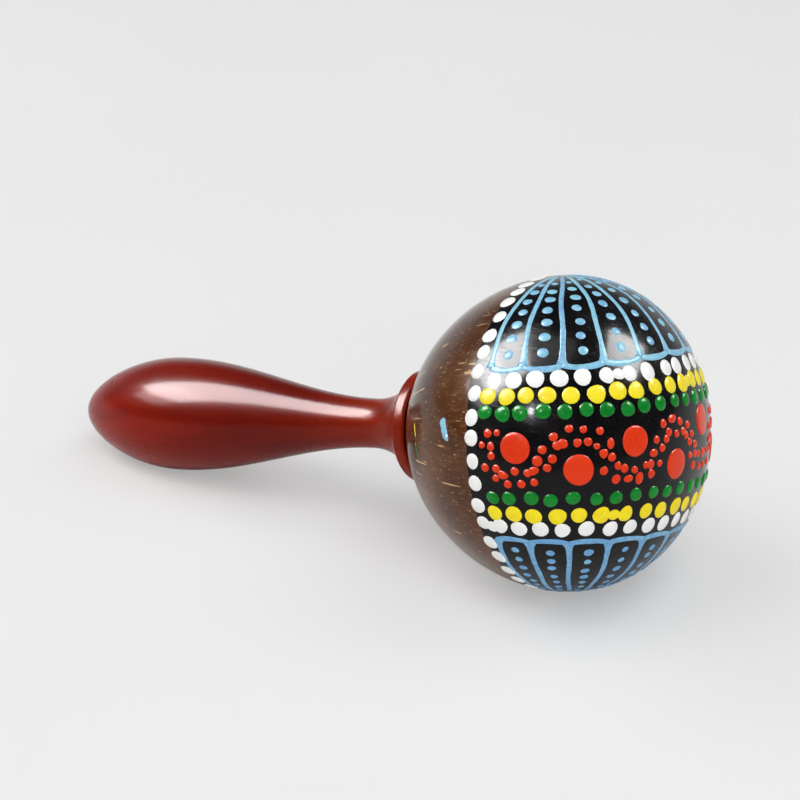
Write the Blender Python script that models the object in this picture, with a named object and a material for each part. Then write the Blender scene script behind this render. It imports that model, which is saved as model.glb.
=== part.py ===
"""Coconut maraca lying on a table, in metres, +Z up, with the table at z = 0.

A hollow coconut shell is the head. A turned wooden handle has a tenon that goes through a hole in
the shell wall, behind a flange that is hollowed to the shell's curve, and a layer of glue fills the
joint. Loose seeds lie inside on the shell's wall. Shell, handle and glue are turned about one axis,
which runs from the handle to the front of the head, and that axis tilts until the head and the
handle's bulb both touch the table.

Along that axis s = 0 is the middle of the shell, and s grows towards the front. A profile is a list
of (s, radius) pairs.
"""

import math

import bmesh
import bpy
import numpy as np
from mathutils import Matrix, Vector

# Shell, a smooth egg of revolution with its fullest girth a little forward of the middle
SHELL_HALF_LENGTH = 0.0441
SHELL_RADIUS = 0.046
SHELL_LEAN = 0.10
SHELL_CROWN = 0.02
SHELL_WALL = 0.004

# Handle, lengths measured from the front edge of the flange unless said otherwise
HANDLE_LENGTH = 0.1307
BULB_RADIUS = 0.0179
BULB_TO_BUTT = 0.0371
BUTT_DRAW = 0.17
NECK_RADIUS = 0.0076
NECK_BEHIND_FLANGE = 0.0200
FLANGE_RADIUS = 0.0169
FLANGE_THICKNESS = 0.0040
FLANGE_EDGE = 0.0009
COVE_INSET = 0.0016
TENON_RADIUS = 0.0085
TENON_LENGTH = 0.016
TENON_CHAMFER = 0.0012

# Layer of glue between the flange and the shell
GLUE_THICKNESS = 0.001
GLUE_RECESS = 0.0011

# Seeds, in rings of six, twelve and so on round one in the middle
SEED_RADIUS = 0.0035
SEED_HALF_LENGTH = 0.0038
SEED_RINGS = 2
HONEYCOMB_SIDES = 6
SEED_SPACE = 0.0005
SEED_SEAT_GAP = 0.0004

# Fits
FIT_GAP = 0.0003
REST_FLAT = 0.0004

# Facets
SHELL_SIDES = 48
SHELL_OUTER_RINGS = 24
SHELL_INNER_RINGS = 20
HANDLE_SIDES = 40
BUTT_RINGS = 11
TAPER_RINGS = 13
COVE_RINGS = 7
EDGE_RINGS = 3
SEAT_RINGS = 3
SEED_SIDES = 12
SEED_BANDS = 6
WALL_SAMPLES = 600
SEARCH_STEPS = 60
SMOOTH_ANGLE = math.radians(40)
GOLDEN_ANGLE = math.radians(137.508)
WELD = 1e-7

# Sizes that follow from those above
HOLE_RADIUS = TENON_RADIUS + FIT_GAP
JOINT_GAP = GLUE_THICKNESS + 2 * FIT_GAP
CAVITY_HALF_LENGTH = SHELL_HALF_LENGTH - SHELL_WALL
CAVITY_RADIUS = SHELL_RADIUS - SHELL_WALL

# Finishes: colour, roughness and weight of the clear coat
LACQUERED_WOOD = ((0.300, 0.022, 0.006), 0.25, 1.0)
POLISHED_COCONUT = ((0.125, 0.055, 0.028), 0.35, 0.6)
DARK_GLUE = ((0.030, 0.017, 0.011), 0.5, 0.0)
DRY_SEED = ((0.055, 0.030, 0.018), 0.4, 0.2)


def clear_scene():
    for obj in list(bpy.data.objects):
        bpy.data.objects.remove(obj, do_unlink=True)


def root_of(function, low, high):
    """The place between low and high where the function changes sign, by halving."""
    low_sign = function(low) > 0
    for _ in range(SEARCH_STEPS):
        middle = (low + high) / 2
        if (function(middle) > 0) == low_sign:
            low = middle
        else:
            high = middle
    return (low + high) / 2


def egg_point(half_length, radius, turn):
    """A point of the shell's outline: turn is 0 at the front tip and pi at the handle's end."""
    forward = math.cos(turn)
    swell = 1 + SHELL_LEAN * forward + SHELL_CROWN * forward**2
    return half_length * forward, radius * math.sin(turn) * swell


def egg_turn_at(half_length, radius, wanted):
    """The turn on the handle's side where the outline has the wanted radius."""
    return root_of(
        lambda turn: egg_point(half_length, radius, turn)[1] - wanted, math.pi / 2, math.pi
    )


def shell_profile():
    """Outside from the hole to the front tip, then inside back to the hole."""
    outer_hole = egg_turn_at(SHELL_HALF_LENGTH, SHELL_RADIUS, HOLE_RADIUS)
    inner_hole = egg_turn_at(CAVITY_HALF_LENGTH, CAVITY_RADIUS, HOLE_RADIUS)
    outside = [
        egg_point(SHELL_HALF_LENGTH, SHELL_RADIUS, turn)
        for turn in np.linspace(outer_hole, 0, SHELL_OUTER_RINGS + 1)
    ]
    inside = [
        egg_point(CAVITY_HALF_LENGTH, CAVITY_RADIUS, turn)
        for turn in np.linspace(0, inner_hole, SHELL_INNER_RINGS + 1)
    ]
    return outside + inside


def shell_s_at(radius):
    """Where the outside of the shell's handle end has this radius."""
    turn = egg_turn_at(SHELL_HALF_LENGTH, SHELL_RADIUS, radius)
    return egg_point(SHELL_HALF_LENGTH, SHELL_RADIUS, turn)[0]


def along_shell(behind, start, end):
    """A line that follows the shell's handle end this far behind it, from one radius to another."""
    radii = np.linspace(start, end, SEAT_RINGS + 1)
    return [(shell_s_at(radius) - behind, radius) for radius in radii]


def arc(centre, radius, start, end, steps):
    """Points on a circle in the (s, radius) plane, from one angle to another."""
    return [
        (centre[0] + radius * math.cos(angle), centre[1] + radius * math.sin(angle))
        for angle in np.linspace(start, end, steps + 1)
    ]


def handle_profile():
    """Butt, bulb, taper, neck, cove, flange and tenon, from the butt's tip to the tenon's end."""
    rim = FLANGE_RADIUS - FLANGE_EDGE
    seat = along_shell(JOINT_GAP, rim, TENON_RADIUS)
    front = seat[0][0]
    butt = front - HANDLE_LENGTH
    bulb = butt + BULB_TO_BUTT
    neck = front - NECK_BEHIND_FLANGE
    back_face = front - FLANGE_THICKNESS

    # The butt is half an ellipse, drawn in a little towards its round end.
    points = []
    for quarter in np.linspace(0, math.pi / 2, BUTT_RINGS + 1):
        away = math.cos(quarter)
        radius = BULB_RADIUS * math.sin(quarter) * (1 - BUTT_DRAW * away**2)
        points.append((bulb - BULB_TO_BUTT * away, radius))

    # Half a cosine wave takes the bulb down to the neck.
    for half in np.linspace(0, math.pi, TAPER_RINGS + 1)[1:]:
        drop = (1 - math.cos(half)) / 2
        radius = BULB_RADIUS + (NECK_RADIUS - BULB_RADIUS) * drop
        points.append((bulb + (neck - bulb) * half / math.pi, radius))

    # The cove is an arc that leaves the neck level and meets the back of the flange.
    run = back_face - neck
    rise = FLANGE_RADIUS - COVE_INSET - NECK_RADIUS
    cove_radius = (run**2 + rise**2) / (2 * rise)
    cove_end = 2 * math.atan2(rise, run)
    cove_centre = (neck, NECK_RADIUS + cove_radius)
    points += arc(cove_centre, cove_radius, -math.pi / 2, cove_end - math.pi / 2, COVE_RINGS)[1:]

    # Both edges of the flange are rounded, and its front is hollowed to fit the shell.
    points += arc((back_face + FLANGE_EDGE, rim), FLANGE_EDGE, math.pi, math.pi / 2, EDGE_RINGS)
    points += arc((front - FLANGE_EDGE, rim), FLANGE_EDGE, math.pi / 2, 0, EDGE_RINGS)
    points += seat[1:]

    tip = seat[-1][0] + TENON_LENGTH
    points.append((tip - TENON_CHAMFER, TENON_RADIUS))
    points.append((tip, TENON_RADIUS - TENON_CHAMFER))
    points.append((tip, 0))
    return points


def glue_profile():
    """A layer between flange and shell, from the tenon out to a recess below the flange's rim."""
    outer = FLANGE_RADIUS - FLANGE_EDGE - GLUE_RECESS
    handle_side = along_shell(JOINT_GAP - FIT_GAP, HOLE_RADIUS, outer)
    shell_side = along_shell(FIT_GAP, outer, HOLE_RADIUS)
    return handle_side + shell_side


def seed_profile():
    return [
        (SEED_HALF_LENGTH * math.cos(turn), SEED_RADIUS * math.sin(turn))
        for turn in np.linspace(math.pi, 0, SEED_BANDS + 1)
    ]


def lowest(profile, tilt):
    """How low the profile's underside hangs once its axis tilts up at the front by this angle."""
    return min(s * math.sin(tilt) - radius * math.cos(tilt) for s, radius in profile)


def resting_tilt(head, handle):
    """The tilt at which head and handle both touch the table."""
    return root_of(lambda tilt: lowest(head, tilt) - lowest(handle, tilt), 0, math.pi / 4)


def resting_place(head, handle):
    """Takes the maraca's own axis to where it lies: over the origin, pressed a little into z = 0."""
    tilt = resting_tilt(head, handle)
    ends = [
        s * math.cos(tilt) - side * radius * math.sin(tilt)
        for s, radius in head + handle
        for side in (-1, 1)
    ]
    middle = (min(ends) + max(ends)) / 2
    height = -lowest(head, tilt) - REST_FLAT
    return Matrix.Translation((-middle, 0, height)) @ Matrix.Rotation(-tilt, 4, "Y")


def spun(profile, sides, closed=False):
    """A mesh turned from the profile about the X axis."""
    shape = bmesh.new()
    points = [shape.verts.new((s, 0, radius)) for s, radius in profile]
    ends = points[1:] + points[:1] if closed else points[1:]
    lines = [shape.edges.new(pair) for pair in zip(points, ends)]
    bmesh.ops.spin(
        shape,
        geom=points + lines,
        cent=(0, 0, 0),
        axis=(1, 0, 0),
        angle=math.tau,
        steps=sides,
        use_merge=True,
    )
    bmesh.ops.remove_doubles(shape, verts=shape.verts[:], dist=WELD)
    return shape


def flatten_underside(shape, place):
    """Cuts the shape off level with the table and closes the cut with a flat face."""
    to_shape = place.inverted()
    cut = bmesh.ops.bisect_plane(
        shape,
        geom=shape.verts[:] + shape.edges[:] + shape.faces[:],
        plane_co=to_shape @ Vector((0, 0, 0)),
        plane_no=to_shape.to_3x3() @ Vector((0, 0, -1)),
        clear_outer=True,
    )
    rim = [item for item in cut["geom_cut"] if isinstance(item, bmesh.types.BMEdge)]
    bmesh.ops.edgeloop_fill(shape, edges=rim)


def finish(name, look):
    colour, roughness, coat = look
    material = bpy.data.materials.new(name)
    material.use_nodes = True
    shader = material.node_tree.nodes["Principled BSDF"]
    shader.inputs["Base Color"].default_value = (*colour, 1)
    shader.inputs["Roughness"].default_value = roughness
    shader.inputs["Metallic"].default_value = 0
    shader.inputs["Coat Weight"].default_value = coat
    material.diffuse_color = (*colour, 1)
    return material


def mesh_of(name, shape, material):
    bmesh.ops.recalc_face_normals(shape, faces=shape.faces[:])
    mesh = bpy.data.meshes.new(name)
    shape.to_mesh(mesh)
    shape.free()
    mesh.materials.append(material)
    mesh.shade_smooth()
    mesh.set_sharp_from_angle(angle=SMOOTH_ANGLE)
    return mesh


def placed(name, mesh, parent=None):
    obj = bpy.data.objects.new(name, mesh)
    obj.parent = parent
    bpy.context.scene.collection.objects.link(obj)
    return obj


def turned_pieces():
    """Shell, handle and glue on the empty that carries their common axis."""
    head = shell_profile()
    handle = handle_profile()
    place = resting_place(head, handle)
    axis = placed("maraca_axis", None)
    axis.matrix_world = place

    shell_shape = spun(head, SHELL_SIDES, closed=True)
    flatten_underside(shell_shape, place)
    shell_finish = finish("polished_coconut", POLISHED_COCONUT)
    placed("coconut_shell", mesh_of("coconut_shell", shell_shape, shell_finish), axis)

    handle_shape = spun(handle, HANDLE_SIDES)
    flatten_underside(handle_shape, place)
    handle_finish = finish("lacquered_wood", LACQUERED_WOOD)
    placed("handle", mesh_of("handle", handle_shape, handle_finish), axis)

    glue_shape = spun(glue_profile(), HANDLE_SIDES, closed=True)
    glue_finish = finish("dark_glue", DARK_GLUE)
    placed("glue_ring", mesh_of("glue_ring", glue_shape, glue_finish), axis)
    return place


def cavity_wall():
    """Close points along the cavity's outline, as an array of (s, radius) rows."""
    turns = np.linspace(0, math.pi, WALL_SAMPLES)
    return np.array([egg_point(CAVITY_HALF_LENGTH, CAVITY_RADIUS, turn) for turn in turns])


def seed_columns(middle):
    """(x, y) of each seed in a honeycomb round the middle, from the inside out."""
    pitch = 2 * max(SEED_HALF_LENGTH, SEED_RADIUS) + SEED_SPACE
    columns = [(middle, 0.0)]
    for ring in range(1, SEED_RINGS + 1):
        for side in range(HONEYCOMB_SIDES):
            start = math.tau * side / HONEYCOMB_SIDES
            along = start + 2 * math.tau / HONEYCOMB_SIDES
            for step in range(ring):
                x = pitch * (ring * math.cos(start) + step * math.cos(along))
                y = pitch * (ring * math.sin(start) + step * math.sin(along))
                columns.append((middle + x, y))
    return columns


def loose_seeds(place):
    """Seeds lying on the cavity's lowest part, each free to fly straight up to the wall above."""
    wall = cavity_wall()
    to_shell = place.inverted()
    tilt = math.asin(place[2][0])
    lowest_row = wall[np.argmin(wall[:, 0] * math.sin(tilt) - wall[:, 1] * math.cos(tilt))]
    bottom = place @ Vector((lowest_row[0], 0, -lowest_row[1]))
    centre = place.translation

    def spare_room(x, y, z):
        """How far a seed's surface at this place is from its seat, negative beyond it."""
        local = to_shell @ Vector((x, y, z))
        off_axis = math.hypot(local.y, local.z)
        reach = np.hypot(wall[:, 0] - local.x, wall[:, 1] - off_axis).min()
        wall_radius = np.interp(-local.x, -wall[:, 0], wall[:, 1], left=0, right=0)
        inside = off_axis < wall_radius
        return (reach if inside else -reach) - SEED_RADIUS - SEED_SEAT_GAP

    seed_shape = spun(seed_profile(), SEED_SIDES)
    mesh = mesh_of("rattle_seed", seed_shape, finish("dry_seed", DRY_SEED))
    for number, (x, y) in enumerate(seed_columns(bottom.x), start=1):
        low = root_of(lambda z: spare_room(x, y, z), bottom.z, centre.z)
        high = root_of(lambda z: spare_room(x, y, z), centre.z, 2 * centre.z - bottom.z)
        seed = placed(f"rattle_seed_{number:02d}", mesh)
        seed.location = (x, y, low)
        seed.rotation_euler = (0, 0, number * GOLDEN_ANGLE)
        seed["free_travel"] = high - low


def main():
    clear_scene()
    place = turned_pieces()
    loose_seeds(place)


main()
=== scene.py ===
"""Looks of the coconut maraca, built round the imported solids, in metres with +Z up.

The head is a polished coconut shell whose front half is painted black. A ring of white dots edges the
paint. Between two poles a band of dots runs over the front: rows of white, yellow and green above and
below a waving trail of small red dots and large red discs. A fan of blue petals spreads from each pole.

A place on the paint is a longitude and a latitude, seen from the middle of the head. Longitude 0 is the
front tip, and -90 and 90 lie on the ring of white dots. Latitude runs from pole to pole.
"""

import math

import bpy
import numpy as np
from mathutils import Matrix


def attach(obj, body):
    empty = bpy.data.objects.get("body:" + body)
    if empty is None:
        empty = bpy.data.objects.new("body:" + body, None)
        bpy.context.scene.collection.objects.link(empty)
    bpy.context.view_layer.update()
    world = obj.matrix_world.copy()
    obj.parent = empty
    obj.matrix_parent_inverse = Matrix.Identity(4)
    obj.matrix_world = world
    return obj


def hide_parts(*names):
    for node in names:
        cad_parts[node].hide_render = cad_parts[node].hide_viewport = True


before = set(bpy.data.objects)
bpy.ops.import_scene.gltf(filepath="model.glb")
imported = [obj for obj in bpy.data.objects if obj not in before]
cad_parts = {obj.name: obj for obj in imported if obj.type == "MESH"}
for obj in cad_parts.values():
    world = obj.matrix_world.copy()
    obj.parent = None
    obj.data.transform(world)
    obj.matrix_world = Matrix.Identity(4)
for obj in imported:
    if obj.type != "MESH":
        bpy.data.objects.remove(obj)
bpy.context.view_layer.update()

# Shell, the same egg as the solid's
SHELL_HALF_LENGTH = 0.0441
SHELL_RADIUS = 0.046
SHELL_LEAN = 0.10
SHELL_CROWN = 0.02
SHELL_WALL = 0.004
HOLE_RADIUS = 0.0088

# Handle, the same turning as the solid's
HANDLE_LENGTH = 0.1307
BULB_RADIUS = 0.0179
BULB_TO_BUTT = 0.0371
BUTT_DRAW = 0.17
NECK_RADIUS = 0.0076
NECK_BEHIND_FLANGE = 0.0200
FLANGE_RADIUS = 0.0169
FLANGE_THICKNESS = 0.0040
FLANGE_EDGE = 0.0009
COVE_INSET = 0.0016
TENON_RADIUS = 0.0085
TENON_LENGTH = 0.016
JOINT_GAP = 0.0016

# Facets of the smooth surfaces
SHELL_AROUND = 224
SHELL_INNER_ROWS = 60
SHELL_OUTER_ROWS = 150
HANDLE_AROUND = 128
BUTT_ROWS = 60
TAPER_ROWS = 90
COVE_ROWS = 36
EDGE_ROWS = 7
SEAT_ROWS = 8
SHARP_ANGLE = math.radians(40)

# Paint on the head: angles in degrees, sizes in metres
PAINT_ROLL = 15.5
BLACK_EDGE = -0.0027
BLACK_EDGE_BLUR = 0.00012
BLACK_EDGE_WOBBLE = 0.0016
PAINT_SINK = 0.00006
PAINT_ROOT = 0.0002
WHITE_HEIGHT = 0.00038
YELLOW_HEIGHT = 0.00042
GREEN_HEIGHT = 0.00055
DISC_HEIGHT = 0.00036
TRAIL_HEIGHT = 0.00040
LINE_HEIGHT = 0.00020
PETAL_DOT_HEIGHT = 0.00022
SMEAR_HEIGHT = 0.00012
# Painted shade: tint added to the lower fan's shapes, which takes them to the paint's darker colour
PAINTED_SHADE_TINT = 2

# Ring of dots
RING_FORWARD = -0.0010
RING_TILT = 0.0011
RING_COUNT = 45
RING_FIRST = 86.3
RING_DOT_RADIUS = 0.00248

# Rows of dots: latitude, number, reach in longitude, radius, first of two run together, stretch
WHITE_ROWS = ((25.0, 19, 83.4, 0.00268, 5, 0.95), (-27.9, 19, 83.4, 0.00256, None, 0.92))
YELLOW_ROWS = ((19.2, 21, 85.6, 0.00262, 10, 1.03), (-22.4, 20, 84.1, 0.00260, 5, 0.98))
GREEN_ROWS = ((13.8, 23, 85.7, 0.00224, None, 1.03), (-16.2, 22, 84.1, 0.00208, None, 1.03))
ROW_CROWDING = 0.08
BAND_SWELL = 0.11

# One more white drop, where the lower row has run into the ring
RUN_LONGITUDE = -87.0
RUN_LATITUDE = -28.3
RUN_RADIUS = 0.0019
RUN_HEIGHT = 0.00030

# Red discs, and the trail of small dots that waves round them
DISC_FIRST = -74.2
DISC_STEP = 21.6
DISC_RADIUS = 0.0045
DISC_LATITUDES = (1.7, -6.0, 2.6, -8.0, 6.0, -7.2, 2.8, -6.0)
TRAIL_MIDDLE = -1.8
TRAIL_SWING = 7.3
TRAIL_STEEPNESS = 2.8
TRAIL_STEP = 0.00184
TRAIL_HALF_WIDTH = 0.00165
TRAIL_DOT_RADIUS = 0.00125
TRAIL_ENDS = (-85.2, 86.5)
DRAGGED_SHARE = 0.12
DRAGGED_STRETCH = 1.45
CURL_LONGITUDES = (-80.8, -84.4, -86.7, -83.2)
CURL_LATITUDES = (6.8, 6.5, 2.4, 2.0)

# Fans of blue petals
PETALS = 10
FAN_REACH = 86.5
FAN_CROWDING = 0.10
FAN_POLE_LEAN = 4.0
LINE_BOW = 0.045
LINE_BOW_MOST = 2.2
LINE_STRAIGHT_AT = -48.0
LINE_STEPS = 26
LINE_WAVER = 0.006
LINE_WAVES = 1.7
LINE_HALF_WIDTH = 0.00086
LINE_THINNING = 0.25
LINE_FLARE = 0.0011
LINE_FLARE_RUN = 0.0014
LINE_STOP = 3.5
CORNER_INSET = 0.6
CORNER_RADIUS = 0.00105
SCALLOP_STEPS = 16
SCALLOP_FULLNESS = 2.6
SCALLOP_HALF_WIDTH = 0.00094
PETAL_DOTS = 7
PETAL_DOT_THINNING = 0.14
DOT_WIDEST = 0.26

# Unevenness of the painter's hand along, across and in size: degrees in a row and round the ring,
# radians up a petal, otherwise metres and shares
ROW_JITTER = 0.45
ROW_WANDER = 0.22
ROW_SIZE_SPREAD = 0.045
ROW_STRETCH_SPREAD = 0.04
RING_JITTER = 0.5
RING_WANDER = 0.00025
RING_SIZE_SPREAD = 0.05
TRAIL_JITTER = 0.00028
TRAIL_WANDER = 0.00050
TRAIL_SIZE_SPREAD = 0.09
PETAL_DOT_JITTER = 0.006
PETAL_DOT_WANDER = 0.004
PETAL_DOT_SIZE_SPREAD = 0.06
PETAL_DOT_STRETCH_SPREAD = 0.05

# Seeds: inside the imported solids' corners, which stand 0.0038 from their middles
SEED_RADIUS = 0.0035
SEED_LUMPS = 0.05
SEED_WAVES = 2.4
SEED_ROWS = 13
SEED_AROUND = 22

# Camera, fitted to the photograph's outlines
LENS = 126.0
SENSOR = 36.0
CAMERA_FROM_HEAD = np.array((0.33953, -0.65694, 0.35940))
CAMERA_RIGHT = np.array((0.85846, 0.51288, 0.0))
CAMERA_FORWARD = np.array((-0.46369, 0.77612, -0.42736))

# Gloss of the thin varnish and paint
VARNISH_IOR = 1.21
LACQUER_IOR = 1.17

# Where the handle's colour changes, along the axis from the middle of the head
NECKWARD = (-0.168, -0.095)
FLANGEWARD = (-0.092, -0.056)

# Brightness of the room: on matt surfaces, and as the camera and reflections see its wall and its rest
ROOM_LIGHT = 0.19
WALL_LIGHT = 0.80
ROOM_DARK = 0.10
WALL_TOWARDS = (-0.51, 0.86)

# The floor is seen partly in its own light and partly as one even tone, so its shadows are light
FLOOR_TONE = 0.80
FLOOR_EVENNESS = 0.45
FLOOR_HALF = 4.0
FLOOR_FAR = (0.8, 2.5)

# Lamps: direction from the maraca, and brightness; a panel also has its distance and size
FILL_DISTANCE = 2.2
FILL_SIZE = 1.4
FILLS = (
    ("left_fill", (-0.883, 0.0, 0.469), 2.46),
    ("right_fill", (0.624, -0.624, 0.469), 2.09),
    ("high_left_fill", (-0.375, -0.375, 0.848), 2.05),
    ("high_right_fill", (0.375, -0.375, 0.848), 2.31),
    ("high_back_fill", (0.375, 0.375, 0.848), 1.72),
)
PANELS = (
    ("left_panel", (-0.56, -0.30, 0.77), 47.0, 1.6, 1.04),
    ("low_left_panel", (-0.70, -0.42, 0.58), 13.0, 1.7, 0.80),
    ("right_panel", (0.585, 0.475, 0.657), 35.0, 1.6, 0.70),
    ("top_panel", (0.05, -0.15, 0.98), 2.5, 1.6, 0.80),
    ("front_spark", (0.05, -0.79, 0.62), 200.0, 1.4, 0.10),
)
LAMP_AIM = np.array((0.0, 0.0, 0.04))

TINY = 1e-12
OUTLINE_STEPS = 4001


def unit(vectors):
    """Vectors of length one, in the same directions."""
    return vectors / np.maximum(np.linalg.norm(vectors, axis=-1, keepdims=True), TINY)


def node_points(name):
    """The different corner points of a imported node, as rows of x, y and z."""
    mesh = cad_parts[name].data
    points = np.empty(3 * len(mesh.vertices))
    mesh.vertices.foreach_get("co", points)
    return np.unique(points.reshape(-1, 3).round(6), axis=0)


def own_axis():
    """The middle of the shell, and the direction from the handle to the front of the head.

    The glue ring is round and thin, so its points spread least along the axis, and its centre lies
    on it. The front tip of the shell is the shell's furthest reach along it.
    """
    ring = node_points("glue_ring")
    centre = ring.mean(axis=0)
    axis = np.linalg.svd(ring - centre, full_matrices=False)[2][2]
    axis = axis * np.sign(axis[0])
    tip = ((node_points("coconut_shell") - centre) @ axis).max()
    return centre + (tip - SHELL_HALF_LENGTH) * axis, axis


def egg(turn, half_length, radius):
    """Outline of the shell, from the front tip at turn 0 to the handle's end at turn pi.

    Along the axis it is half_length * cos(turn). Off the axis it is radius * sin(turn), swollen by a
    lean times cos(turn) and a crown times its square.
    """
    forward = np.cos(turn)
    swell = 1 + SHELL_LEAN * forward + SHELL_CROWN * forward**2
    return half_length * forward, radius * np.sin(turn) * swell


HEAD_MIDDLE, AXIS = own_axis()
UPWARD = unit(np.array((0.0, 0.0, 1.0)) - AXIS[2] * AXIS)
ACROSS = np.cross(AXIS, UPWARD)
POLE = math.cos(math.radians(PAINT_ROLL)) * UPWARD - math.sin(math.radians(PAINT_ROLL)) * ACROSS
SIDE = np.cross(POLE, AXIS)

# The shell's outline as a table: angle seen from the middle, reach, and how far the normal leans
OUTLINE_S, OUTLINE_R = egg(np.linspace(0, np.pi, OUTLINE_STEPS), SHELL_HALF_LENGTH, SHELL_RADIUS)
OUTLINE_ANGLE = np.arctan2(OUTLINE_R, OUTLINE_S)
OUTLINE_REACH = np.hypot(OUTLINE_S, OUTLINE_R)
OUTLINE_LEAN = np.arctan2(-np.gradient(OUTLINE_S), np.gradient(OUTLINE_R))


def off_axis(directions):
    """Each direction's angle from the axis, and the unit direction in which it leaves the axis."""
    along = directions @ AXIS
    away = directions - along[..., None] * AXIS
    return np.arctan2(np.linalg.norm(away, axis=-1), along), unit(away)


def shell_normal(directions):
    """The shell's outward normal where rays from the middle of the head leave it."""
    angle, away = off_axis(directions)
    lean = np.interp(angle, OUTLINE_ANGLE, OUTLINE_LEAN)[..., None]
    return np.cos(lean) * AXIS + np.sin(lean) * away


def on_shell(directions, proud):
    """Where rays from the middle of the head leave the shell, raised along its normal.

    Nothing goes below the table: what would is pressed flat at z = 0.
    """
    angle, away = off_axis(directions)
    reach = np.interp(angle, OUTLINE_ANGLE, OUTLINE_REACH)[..., None]
    ray = np.cos(angle)[..., None] * AXIS + np.sin(angle)[..., None] * away
    points = HEAD_MIDDLE + reach * ray + np.asarray(proud)[..., None] * shell_normal(directions)
    points[..., 2] = np.maximum(points[..., 2], 0)
    return points


def paint_direction(longitude, latitude):
    """The direction from the middle of the head to a place on the paint, from angles in degrees."""
    lon = np.radians(longitude)[..., None]
    lat = np.radians(latitude)[..., None]
    return np.sin(lat) * POLE + np.cos(lat) * (np.cos(lon) * AXIS + np.sin(lon) * SIDE)


def swollen(latitude, longitude, swell):
    """Rows spread away from each other over the front tip, by the fourth power of cos(longitude)."""
    return latitude * (1 + swell * np.cos(np.radians(longitude)) ** 4)


def mesh_piece(name, points, faces, material, sharp_rim=None, body="maraca", **attributes):
    """A smooth mesh that rides on a body, with named values or vectors on its points.

    Edges between two points of sharp_rim stay sharp.
    """
    mesh = bpy.data.meshes.new(name)
    mesh.from_pydata(points.tolist(), [], [row for block in faces for row in block.tolist()])
    mesh.shade_smooth()
    if sharp_rim is not None:
        ends = np.empty(2 * len(mesh.edges), dtype=np.int32)
        mesh.edges.foreach_get("vertices", ends)
        sharp = mesh.attributes.new("sharp_edge", "BOOLEAN", "EDGE")
        sharp.data.foreach_set("value", sharp_rim[ends.reshape(-1, 2)].all(axis=1))
    for title, values in attributes.items():
        is_vector = values.ndim == 2
        layer = mesh.attributes.new(title, "FLOAT_VECTOR" if is_vector else "FLOAT", "POINT")
        layer.data.foreach_set("vector" if is_vector else "value", values.astype(np.float32).ravel())
    mesh.materials.append(material)
    piece = bpy.data.objects.new(name, mesh)
    bpy.context.scene.collection.objects.link(piece)
    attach(piece, body)
    return piece


def turned_points(outline, around):
    """An outline of (s, radius) rows carried round the axis, with one point at each end for the pole.

    A row at angle v stands at s along the axis and its radius along cos(v) up and sin(v) across.
    """
    s, radius = outline[1:-1].T
    angle = np.linspace(0, 2 * np.pi, around, endpoint=False)
    spoke = np.cos(angle)[:, None] * UPWARD + np.sin(angle)[:, None] * ACROSS
    grid = s[:, None, None] * AXIS + radius[:, None, None] * spoke
    poles = outline[[0, -1], :1] * AXIS
    points = HEAD_MIDDLE + np.concatenate((grid.reshape(-1, 3), poles))
    points[:, 2] = np.maximum(points[:, 2], 0)
    return points


def turned_faces(rows, around):
    """Faces of turned_points: bands of quads, and a fan of triangles at each pole."""
    index = np.arange(rows * around).reshape(rows, around)
    beside = np.roll(index, -1, axis=1)
    quads = np.stack((index[:-1], beside[:-1], beside[1:], index[1:]), axis=-1).reshape(-1, 4)
    first_pole = np.full(around, rows * around)
    last_pole = first_pole + 1
    first_fan = np.stack((first_pole, beside[0], index[0]), axis=-1)
    last_fan = np.stack((index[-1], beside[-1], last_pole), axis=-1)
    return [quads, first_fan, last_fan]


def around_outline(outline, around):
    """Each point's own coordinates: (cos, sin) of its angle round the axis, and its distance along s."""
    angle = np.linspace(0, 2 * np.pi, around, endpoint=False)
    rows = outline[1:-1, :1]
    inner = np.stack(np.broadcast_arrays(np.cos(angle), np.sin(angle), rows), axis=-1)
    poles = np.array([(0, 0, outline[0, 0]), (0, 0, outline[-1, 0])])
    return np.concatenate((inner.reshape(-1, 3), poles))


def shell_outline():
    """The inside from its front tip back to the hole, then the outside from the hole to the front."""
    def hole_turn(half_length, radius):
        turn = np.linspace(np.pi, np.pi / 2, OUTLINE_STEPS)
        return np.interp(HOLE_RADIUS, egg(turn, half_length, radius)[1], turn)

    cavity = (SHELL_HALF_LENGTH - SHELL_WALL, SHELL_RADIUS - SHELL_WALL)
    outside = (SHELL_HALF_LENGTH, SHELL_RADIUS)
    inner = egg(np.linspace(0, hole_turn(*cavity), SHELL_INNER_ROWS), *cavity)
    outer = egg(np.linspace(hole_turn(*outside), 0, SHELL_OUTER_ROWS), *outside)
    return np.concatenate((np.stack(inner, 1), np.stack(outer, 1)))


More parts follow.
